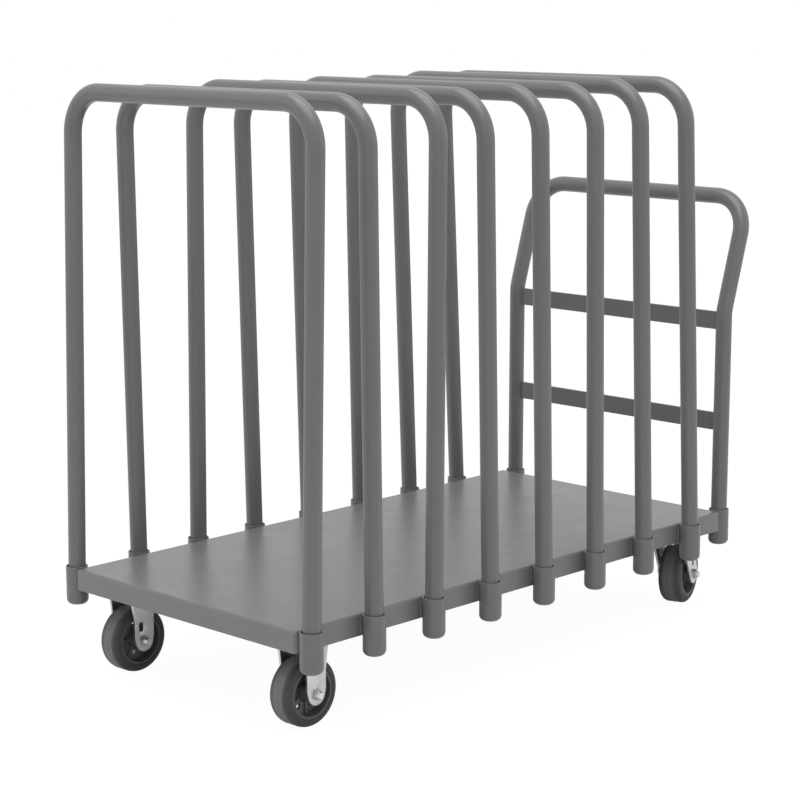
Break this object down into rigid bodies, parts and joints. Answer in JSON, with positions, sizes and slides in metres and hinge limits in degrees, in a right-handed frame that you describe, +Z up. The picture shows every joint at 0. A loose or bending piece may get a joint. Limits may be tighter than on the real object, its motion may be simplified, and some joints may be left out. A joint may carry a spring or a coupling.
{
  "type": "drywall cart",
  "caption": "Steel platform cart for sheets of board, with lift-out pipe hoops in side sockets, a push handle, rigid front casters and swivel rear casters.",
  "frame": {"origin": "on the floor, under the middle of the overall box", "axes": "+X along the deck to the handle end, +Y to the left side, +Z up"},
  "size_m": [1.3364, 0.6942, 1.1178],
  "materials": {
    "deck_paint": "satin grey paint",
    "frame_paint": "satin grey paint",
    "zinc_plate": "bright zinc plate",
    "tyre_rubber": "matt",
    "core_black": "moulded black",
    "bearing_bronze": "plain",
    "ball_steel": "polished"
  },
  "bodies": {
    "cart": {"deck_pan": "deck_paint", "front_caster_channel": "frame_paint", "rear_caster_channel": "frame_paint", "deck_stiffeners": "frame_paint", "left_divider_sockets": "frame_paint", "right_divider_sockets": "frame_paint", "handle_sockets": "frame_paint", "socket_welds": "frame_paint", "caster_bolts": "zinc_plate", "caster_nuts": "zinc_plate", "front_left_fork": "zinc_plate", "front_left_axle_bolt": "zinc_plate", "front_left_axle_nut": "zinc_plate", "front_left_axle_sleeve": "zinc_plate", "front_right_fork": "zinc_plate", "front_right_axle_bolt": "zinc_plate", "front_right_axle_nut": "zinc_plate", "front_right_axle_sleeve": "zinc_plate", "rear_left_top_plate": "zinc_plate", "rear_left_kingpin": "zinc_plate", "rear_left_kingpin_nut": "zinc_plate", "rear_right_top_plate": "zinc_plate", "rear_right_kingpin": "zinc_plate", "rear_right_kingpin_nut": "zinc_plate"},
    "push_handle": {"handle_pipe": "frame_paint", "handle_upper_crossbar": "frame_paint", "handle_lower_crossbar": "frame_paint"},
    "divider_1": {"divider_1": "frame_paint"},
    "divider_2": {"divider_2": "frame_paint"},
    "divider_3": {"divider_3": "frame_paint"},
    "divider_4": {"divider_4": "frame_paint"},
    "divider_5": {"divider_5": "frame_paint"},
    "divider_6": {"divider_6": "frame_paint"},
    "divider_7": {"divider_7": "frame_paint"},
    "divider_8": {"divider_8": "frame_paint"},
    "rear_left_swivel": {"rear_left_balls": "ball_steel", "rear_left_fork": "zinc_plate", "rear_left_axle_bolt": "zinc_plate", "rear_left_axle_nut": "zinc_plate", "rear_left_axle_sleeve": "zinc_plate"},
    "front_left_wheel": {"front_left_core": "core_black", "front_left_tyre": "tyre_rubber", "front_left_bearing": "bearing_bronze"},
    "rear_left_wheel": {"rear_left_core": "core_black", "rear_left_tyre": "tyre_rubber", "rear_left_bearing": "bearing_bronze"},
    "rear_right_swivel": {"rear_right_balls": "ball_steel", "rear_right_fork": "zinc_plate", "rear_right_axle_bolt": "zinc_plate", "rear_right_axle_nut": "zinc_plate", "rear_right_axle_sleeve": "zinc_plate"},
    "front_right_wheel": {"front_right_core": "core_black", "front_right_tyre": "tyre_rubber", "front_right_bearing": "bearing_bronze"},
    "rear_right_wheel": {"rear_right_core": "core_black", "rear_right_tyre": "tyre_rubber", "rear_right_bearing": "bearing_bronze"}
  },
  "joints": [
    {"name": "divider_1_lift", "type": "slide", "parent": "cart", "child": "divider_1", "axis": [0.0262, 0, 0.9997], "range_m": [0, 0.12]},
    {"name": "divider_2_lift", "type": "slide", "parent": "cart", "child": "divider_2", "axis": [-0.0091, 0, 1], "range_m": [0, 0.12]},
    {"name": "divider_3_lift", "type": "slide", "parent": "cart", "child": "divider_3", "axis": [0.015, 0, 0.9999], "range_m": [0, 0.12]},
    {"name": "divider_4_lift", "type": "slide", "parent": "cart", "child": "divider_4", "axis": [-0.0192, 0, 0.9998], "range_m": [0, 0.12]},
    {"name": "divider_5_lift", "type": "slide", "parent": "cart", "child": "divider_5", "axis": [-0.023, 0, 0.9997], "range_m": [0, 0.12]},
    {"name": "divider_6_lift", "type": "slide", "parent": "cart", "child": "divider_6", "axis": [-0.0166, 0, 0.9999], "range_m": [0, 0.12]},
    {"name": "divider_7_lift", "type": "slide", "parent": "cart", "child": "divider_7", "axis": [-0.0363, 0, 0.9993], "range_m": [0, 0.12]},
    {"name": "divider_8_lift", "type": "slide", "parent": "cart", "child": "divider_8", "axis": [-0.0465, 0, 0.9989], "range_m": [0, 0.12]},
    {"name": "push_handle_lift", "type": "slide", "parent": "cart", "child": "push_handle", "axis": [0.0085, 0, 1], "range_m": [0, 0.12]},
    {"name": "rear_left_swivel_turn", "type": "hinge", "parent": "cart", "child": "rear_left_swivel", "pos_m": [0.47862, 0.2376, 0.147], "axis": [0, 0, 1], "continuous": true},
    {"name": "front_left_wheel_spin", "type": "hinge", "parent": "cart", "child": "front_left_wheel", "pos_m": [-0.58558, 0.2376, 0.0635], "axis": [0, 1, 0], "continuous": true},
    {"name": "rear_left_wheel_spin", "type": "hinge", "parent": "rear_left_swivel", "child": "rear_left_wheel", "pos_m": [0.5203, 0.24272, 0.0635], "axis": [-0.1219, 0.9925, 0], "continuous": true},
    {"name": "rear_right_swivel_turn", "type": "hinge", "parent": "cart", "child": "rear_right_swivel", "pos_m": [0.47862, -0.2376, 0.147], "axis": [0, 0, 1], "continuous": true},
    {"name": "front_right_wheel_spin", "type": "hinge", "parent": "cart", "child": "front_right_wheel", "pos_m": [-0.58558, -0.2376, 0.0635], "axis": [0, 1, 0], "continuous": true},
    {"name": "rear_right_wheel_spin", "type": "hinge", "parent": "rear_right_swivel", "child": "rear_right_wheel", "pos_m": [0.51872, -0.22511, 0.0635], "axis": [-0.2974, 0.9548, 0], "continuous": true}
  ]
}
